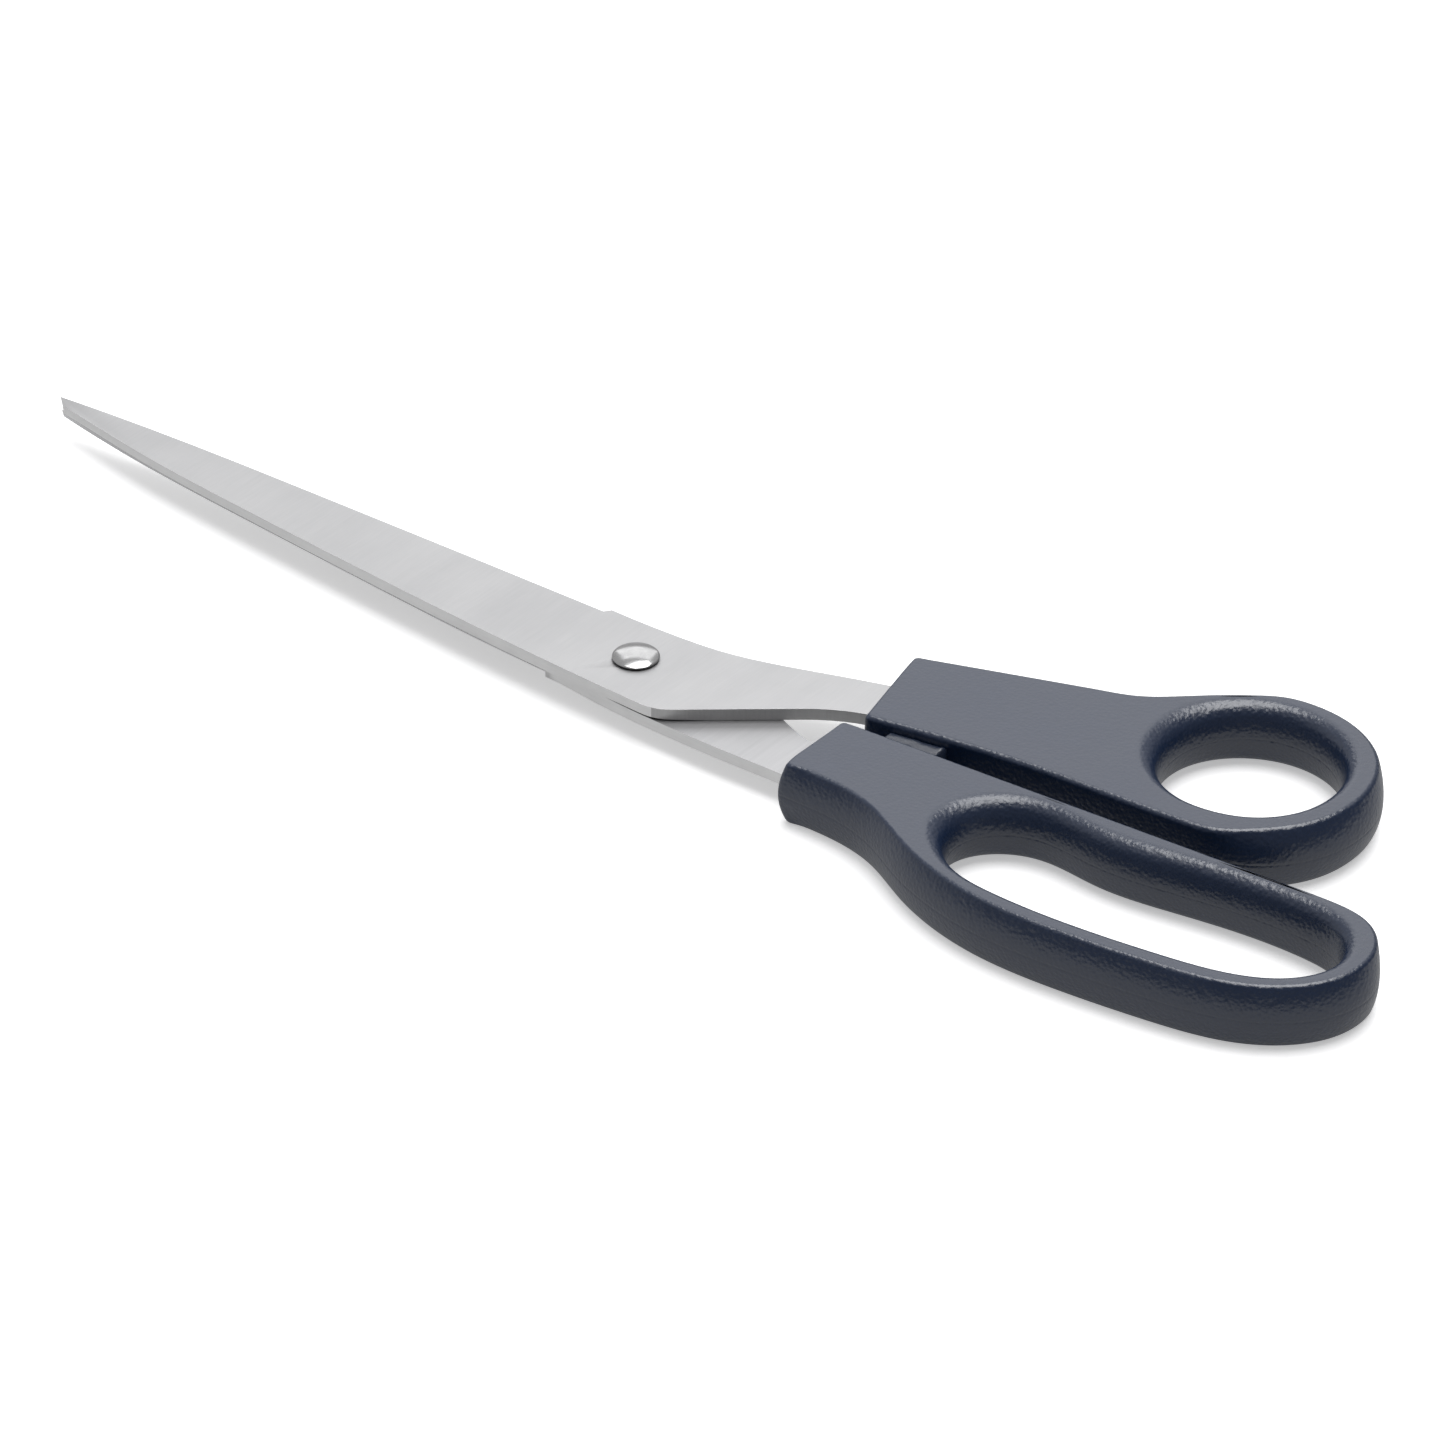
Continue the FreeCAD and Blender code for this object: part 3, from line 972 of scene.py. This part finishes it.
@dataclass
class Rivet(Turned):
    """The domed rivet with its formed end."""

    name: str = "pivot_rivet_polished"
    node: str = "pivot_rivet"
    body: str = LOWER_HALF
    head_radius: float = 4.0 * MM
    shank_radius: float = 2.5 * MM
    tail_radius: float = 3.6 * MM
    rim: float = 0.48 * MM
    rim_ease: float = 0.12 * MM
    undercut: float = 0.2 * MM
    dome: float = 0.8 * MM
    dome_steps: int = 18
    head_gap: float = 0.08 * MM
    tail_steps: int = 8
    tail_flat: float = 0.62
    tail_dimple: float = 0.3
    dimple_rise: tuple[float, float] = (0.06 * MM, 0.12 * MM)

    def dome_points(self, base: float) -> list[tuple[float, float]]:
        """The head from the middle of its dome out to its rim."""
        sphere = (self.head_radius ** 2 + self.dome ** 2) / (2 * self.dome)
        edge_angle = math.asin((self.head_radius - self.rim_ease) / sphere)
        points = []
        for step in range(self.dome_steps + 1):
            angle = edge_angle * step / self.dome_steps
            points.append((sphere * math.sin(angle), base + self.dome - sphere * (1 - math.cos(angle))))
        return points

    def tail_points(self, tail: float, end: float) -> list[tuple[float, float]]:
        """The formed end from its edge in to its dimpled middle.

        Args:
            tail: the level at which the end leaves the washer.
            end: the level of its lowest point.

        Returns:
            Pairs of radius and height.
        """
        start = tail - self.rim_ease
        points = [(self.tail_radius - self.rim_ease, tail), (self.tail_radius, start)]
        for step in range(1, self.tail_steps + 1):
            angle = math.pi / 2 * step / self.tail_steps
            share = self.tail_flat + (1 - self.tail_flat) * math.cos(angle)
            points.append((self.tail_radius * share, start - (start - end) * math.sin(angle)))
        near_rise, middle_rise = self.dimple_rise
        points += [(self.tail_radius * self.tail_dimple, end + near_rise), (0, end + middle_rise)]
        return points

    def built(self, steels: Sequence[bpy.types.Material]) -> bpy.types.Object:
        """Build the rivet, with a polished material for the dome and a dark steel for the rim that paints
        shade there.
        """
        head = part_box("upper_blade")[1].z + self.head_gap
        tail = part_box("pivot_washer")[0].z
        rim_top = head + self.rim
        profile = self.dome_points(rim_top)
        profile += [(self.head_radius, rim_top - self.rim_ease * 0.6),
                    (self.head_radius, head + self.undercut),
                    (self.head_radius - self.undercut, head),
                    (self.shank_radius, head),
                    (self.shank_radius, tail)]
        profile += self.tail_points(tail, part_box(self.node)[0].z)
        shape = self.spun(profile, closed=False)
        # The faces from the head's underside up to just below the rim's top take the dark rim steel:
        # painted shade round the rim.
        for face in shape.faces:
            if head - self.head_gap < face.calc_center_median().z < rim_top - self.rim_ease * 0.5:
                face.material_index = 1
        return self.placed(shape, steels)


@dataclass
class Washer(Turned):
    """The flat washer under the formed end."""

    name: str = "pivot_washer_steel"
    node: str = "pivot_washer"
    body: str = LOWER_HALF
    bore_radius: float = 2.55 * MM
    ease: float = 0.1 * MM

    def built(self, steels: Sequence[bpy.types.Material]) -> bpy.types.Object:
        """Build the washer."""
        low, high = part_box(self.node)
        radius = (high.x - low.x) / 2
        profile = [(self.bore_radius, low.z), (radius - self.ease, low.z), (radius, low.z + self.ease),
                   (radius, high.z - self.ease), (radius - self.ease, high.z), (self.bore_radius, high.z)]
        return self.placed(self.spun(profile, closed=True), steels)


# ------------------------------------------------------------------- studio
@dataclass(frozen=True)
class Softbox:
    """A square light that points at the middle of the shears."""

    name: str
    place: tuple[float, float, float]
    size: float
    power: float

    def lit(self) -> None:
        """Put the light in the scene."""
        data = bpy.data.lights.new(self.name, "AREA")
        data.size = self.size
        data.energy = self.power
        light = bpy.data.objects.new(self.name, data)
        light.location = self.place
        light.rotation_euler = Vector(self.place).to_track_quat("Z", "Y").to_euler()
        bpy.context.scene.collection.objects.link(light)


@dataclass
class Studio:
    """A pale floor, soft lights and the camera."""

    azimuth: float = 38.7
    elevation: float = 34.0
    distance: float = 1.2
    lens: float = 179.4
    pivot_left: float = 14.42 * MM
    pivot_above: float = 10.75 * MM
    floor_reach: float = 4.0
    floor_drop: float = 0.05 * MM
    sky_axis: tuple[float, float, float] = (-0.6, 0.3, 0.75)
    dim_below: float = 0.1
    bright_above: float = 0.75
    low_glow: float = 0.12
    high_glow: float = 0.5

    def camera(self) -> None:
        """Aim the camera so that the pivot lies left of and above the middle."""
        turn = math.radians(self.azimuth)
        rise = math.radians(self.elevation)
        right = Vector((math.cos(turn), math.sin(turn), 0))
        back = Vector((math.sin(turn) * math.cos(rise), -math.cos(turn) * math.cos(rise), math.sin(rise)))
        up = back.cross(right)
        pivot = Vector((PIVOT.x, PIVOT.y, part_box("upper_blade")[1].z))
        data = bpy.data.cameras.new("camera")
        data.lens = self.lens
        data.sensor_width = 36.0
        data.clip_end = 20.0
        camera = bpy.data.objects.new("camera", data)
        camera.location = pivot + right * self.pivot_left - up * self.pivot_above + back * self.distance
        camera.rotation_euler = back.to_track_quat("Z", "Y").to_euler()
        bpy.context.scene.collection.objects.link(camera)
        bpy.context.scene.camera = camera

    def room(self, effects: Effects) -> None:
        """Lay the floor and light it."""
        shape = bmesh.new()
        bmesh.ops.create_grid(shape, x_segments=8, y_segments=8, size=self.floor_reach)
        bmesh.ops.translate(shape, verts=shape.verts, vec=(0, 0, -self.floor_drop))
        shown("floor", shape, [Paper().made(effects)])
        for softbox in SOFTBOXES:
            softbox.lit()
        bpy.context.scene.world = self.sky()
        bpy.context.scene.view_settings.view_transform = "Standard"

    def sky(self) -> bpy.types.World:
        """Surroundings that brighten towards one side."""
        world = bpy.data.worlds.new("studio")
        world.use_nodes = True
        graph = Graph(world.node_tree)
        direction = graph.add("ShaderNodeTexCoord").outputs["Generated"]
        across = graph.add("ShaderNodeVectorMath", {"operation": "DOT_PRODUCT"}, in_0=direction,
                           in_1=Vector(self.sky_axis).normalized())
        glow = graph.add("ShaderNodeMapRange", {"interpolation_type": "SMOOTHSTEP"},
                         Value=across.outputs["Value"],
                         From_Min=self.dim_below, From_Max=self.bright_above,
                         To_Min=self.low_glow, To_Max=self.high_glow)
        sky = graph.add("ShaderNodeBackground", None, Color=(1.0, 1.0, 1.0, 1.0),
                        Strength=glow.outputs["Result"])
        graph.add("ShaderNodeOutputWorld", None, Surface=sky.outputs["Background"])
        return world


# ---------------------------------------------------------------- the whole
FACE_STEEL = GroundSteel("ground face", (0.53, 0.53, 0.535), (0.43, 0.43, 0.44), 0.48, 0.56,
                         (2600.0, 130.0, 2600.0), 0.004 * MM)
SHEARED_STEEL = GroundSteel("sheared edge", (0.58, 0.58, 0.58), (0.40, 0.40, 0.405), 0.36, 0.52,
                            (2200.0, 2200.0, 300.0), 0.02 * MM, 160.0)
HONED_STEEL = GroundSteel("honed bevel", (0.80, 0.80, 0.81), (0.66, 0.66, 0.68), 0.22, 0.32,
                          (3600.0, 200.0, 600.0), 0.006 * MM)
INNER_STEEL = GroundSteel("ground inner face", (0.54, 0.54, 0.55), (0.34, 0.34, 0.35), 0.42, 0.54,
                          (1300.0, 45.0, 1300.0), 0.006 * MM)
# Ground steel of the blades' side faces, with its grinding lines; its near-white colour is a painted
# reflection of the bright floor.
EDGE_STEEL_WITH_PAINTED_REFLECTION = GroundSteel("ground edge with painted reflection", (0.95, 0.95, 0.95), (0.78, 0.78, 0.785), 0.40, 0.55,
                         (300.0, 300.0, 4000.0), 0.006 * MM, 160.0)
RIVET_STEEL = PolishedSteel("polished rivet", (0.54, 0.54, 0.545), (0.46, 0.46, 0.465), 0.14, 0.22)
# A dark copy of the rivet steel for the head's rim: painted shade.
RIM_SHADE_STEEL = PolishedSteel("rivet rim painted shade", (0.17, 0.17, 0.175), (0.11, 0.11, 0.115), 0.2, 0.3)
HANDLE_PLASTIC = MouldedPlastic("slate plastic", (0.005, 0.015, 0.044), (0.010, 0.023, 0.060), 0.26, 0.33,
                                1500.0, 0.07 * MM)
LUG_PLASTIC = MouldedPlastic("trimmed plastic", (0.006, 0.012, 0.030), (0.016, 0.026, 0.052), 0.30, 0.45,
                             2600.0, 0.05 * MM)

SOFTBOXES = (Softbox("overhead", (0.1, 0.2, 1.6), 1.3, 24.0),
             Softbox("window", (-1.0, 1.25, 1.1), 1.3, 5.4))

THUMB_OUTSIDE = WallShape(((-180, 0.15, 0.75), (-120, 0.06, 0.9), (-72, 0.06, 0.95), (-62, 1.3, 1.1),
                           (-45, 2.0, 1.2), (0, 1.8, 1.1), (40, 0.7, 0.9), (95, 0.6, 0.9), (109, 0.3, 0.8),
                           (113, 0.3, 0.8), (125, 0.8, 1.0), (150, 0.2, 0.8)))
THUMB_INSIDE = WallShape(((-180, 0.4, 2.1), (-130, 0.9, 2.9), (-60, 0.9, 3.1), (-20, 0.6, 4.2),
                          (20, 0.5, 4.1), (60, 0.5, 2.6), (100, 0.1, 1.7)))
FINGER_OUTSIDE = WallShape(((-180, 0.4, 0.7), (-150, 0.8, 0.8), (-110, 1.4, 0.9), (-45, 1.65, 1.0),
                            (0, 1.6, 1.0), (30, 0.6, 0.8), (75, 0.05, 0.8), (95, 0.05, 0.9),
                            (150, 0.3, 0.8)))
FINGER_INSIDE = WallShape(((-180, 0.4, 2.1), (-130, 0.6, 2.6), (-90, 0.8, 2.8), (-60, 1.1, 3.2),
                           (-10, 0.9, 4.2), (30, 0.4, 4.0), (60, 0.5, 2.4), (100, 0.2, 1.7)))

UPPER_BLADE = Blade("upper_blade", UPPER_HALF, sheared_from=3.0 * MM, heel_relief=0.35 * MM)
LOWER_BLADE = Blade("lower_blade", LOWER_HALF)
THUMB_HANDLE = Handle("thumb_handle", UPPER_HALF, THUMB_OUTSIDE, THUMB_INSIDE,
                      outline_above_middle=-1.5 * MM, hole_above_middle=-1.5 * MM)
FINGER_HANDLE = Handle("finger_handle", LOWER_HALF, FINGER_OUTSIDE, FINGER_INSIDE,
                       outline_above_middle=4.42 * MM, hole_above_middle=1.5 * MM)


def main() -> None:
    """Build the shears and the studio."""
    effects = Effects()
    # The edge steel's near-white colour paints the floor's reflection on the blades' side faces.
    steels = [steel.made(effects) for steel in
              (FACE_STEEL, SHEARED_STEEL, HONED_STEEL, INNER_STEEL, EDGE_STEEL_WITH_PAINTED_REFLECTION)]
    plastic = HANDLE_PLASTIC.made(effects)
    polished = RIVET_STEEL.made(effects)
    # The dark rim steel paints shade on the rivet's rim.
    rim = RIM_SHADE_STEEL.made(effects)
    UPPER_BLADE.built(steels)
    LOWER_BLADE.built(steels)
    Rivet().built([polished, rim])
    Washer().built([polished])
    THUMB_HANDLE.built(plastic)
    FINGER_HANDLE.built(plastic)
    StopLug().built(LUG_PLASTIC.made(effects))
    studio = Studio()
    studio.room(effects)
    studio.camera()
    log.info("sizes written")


if __name__ == "__main__":
    logging.basicConfig(level=logging.INFO, format="%(name)s: %(message)s")
    main()
